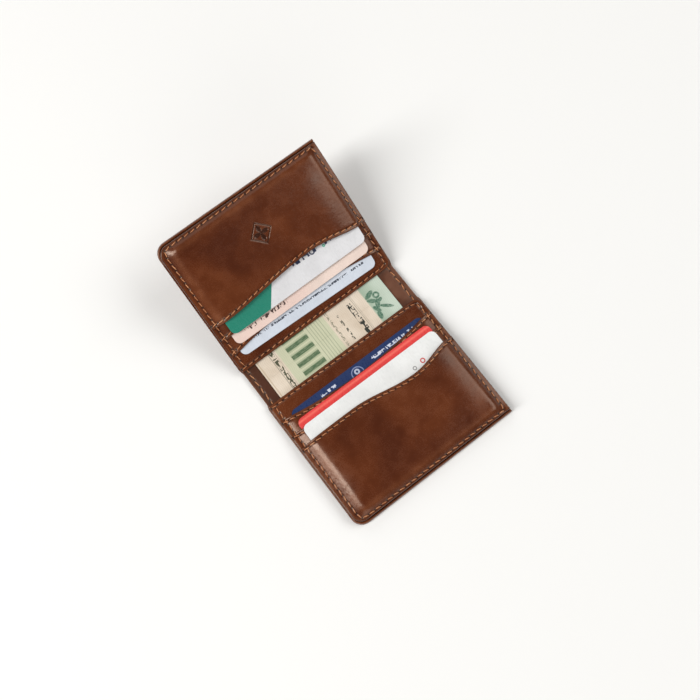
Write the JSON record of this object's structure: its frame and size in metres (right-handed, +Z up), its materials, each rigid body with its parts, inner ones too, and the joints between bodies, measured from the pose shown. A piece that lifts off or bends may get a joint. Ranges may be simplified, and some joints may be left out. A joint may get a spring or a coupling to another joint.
{
  "type": "bifold wallet",
  "caption": "Bifold leather card wallet lying open: hinged halves with stacked card slots, a spine strip, cards and a folded banknote.",
  "frame": {"origin": "centre of the lower half's outside face, on the surface it lies on", "axes": "+X along the fold lines, +Y from the lower half across the spine to the raised upper half, +Z up"},
  "size_m": [0.1, 0.1716, 0.0423],
  "materials": {
    "cover_leather": "pull-up, satin",
    "lining_leather": "satin",
    "pocket_leather": "pull-up, satin",
    "thread": "waxed",
    "banknote_paper": "matte",
    "navy_card": "smooth",
    "red_card": "smooth",
    "white_card": "smooth",
    "pale_card": "smooth",
    "peach_card": "smooth",
    "green_white_card": "smooth"
  },
  "bodies": {
    "lower_half": {"lower_cover": "cover_leather", "lower_lining": "lining_leather", "lower_base_panel": "pocket_leather", "lower_rear_pocket": "pocket_leather", "lower_middle_pocket": "pocket_leather", "lower_front_pocket": "pocket_leather", "lower_perimeter_stitches": "thread", "lower_base_hem_stitches": "thread", "lower_rear_hem_stitches": "thread", "lower_middle_hem_stitches": "thread", "lower_front_hem_stitches": "thread", "lower_rear_bottom_seam": "thread", "lower_middle_bottom_seam": "thread", "banknote_lower_leaf": "banknote_paper"},
    "spine": {"spine_cover": "cover_leather", "spine_lining": "lining_leather", "spine_stitches": "thread", "banknote_middle_leaf": "banknote_paper"},
    "upper_half": {"upper_cover": "cover_leather", "upper_lining": "lining_leather", "upper_base_panel": "pocket_leather", "upper_rear_pocket": "pocket_leather", "upper_middle_pocket": "pocket_leather", "upper_front_pocket": "pocket_leather", "upper_perimeter_stitches": "thread", "upper_base_hem_stitches": "thread", "upper_rear_hem_stitches": "thread", "upper_middle_hem_stitches": "thread", "upper_front_hem_stitches": "thread", "upper_rear_bottom_seam": "thread", "upper_middle_bottom_seam": "thread", "banknote_upper_leaf": "banknote_paper"},
    "lower_navy_card": {"lower_navy_card": "navy_card"},
    "lower_red_card": {"lower_red_card": "red_card"},
    "lower_white_card": {"lower_white_card": "white_card"},
    "upper_pale_card": {"upper_pale_card": "pale_card"},
    "upper_peach_card": {"upper_peach_card": "peach_card"},
    "upper_green_white_card": {"upper_green_white_card": "green_white_card"}
  },
  "joints": [
    {"name": "fold_lower", "type": "hinge", "parent": "lower_half", "child": "spine", "pos_m": [0, 0.0396, 0.0018], "axis": [1, 0, 0], "range_deg": [0, 90]},
    {"name": "fold_upper", "type": "hinge", "parent": "spine", "child": "upper_half", "pos_m": [0, 0.0606, 0.0018], "axis": [1, 0, 0], "range_deg": [-27, 67]},
    {"name": "lower_navy_card_slide", "type": "slide", "parent": "lower_half", "child": "lower_navy_card", "axis": [0, -1, 0], "range_m": [-0.02, 0]},
    {"name": "lower_red_card_slide", "type": "slide", "parent": "lower_half", "child": "lower_red_card", "axis": [0, -1, 0], "range_m": [-0.025, 0]},
    {"name": "lower_white_card_slide", "type": "slide", "parent": "lower_half", "child": "lower_white_card", "axis": [0, -1, 0], "range_m": [-0.03, 0]},
    {"name": "upper_pale_card_slide", "type": "slide", "parent": "upper_half", "child": "upper_pale_card", "axis": [0, 0.891, 0.454], "range_m": [-0.007, 0]},
    {"name": "upper_peach_card_slide", "type": "slide", "parent": "upper_half", "child": "upper_peach_card", "axis": [0, 0.891, 0.454], "range_m": [-0.018, 0]},
    {"name": "upper_green_white_card_slide", "type": "slide", "parent": "upper_half", "child": "upper_green_white_card", "axis": [0, 0.891, 0.454], "range_m": [-0.028, 0]}
  ]
}
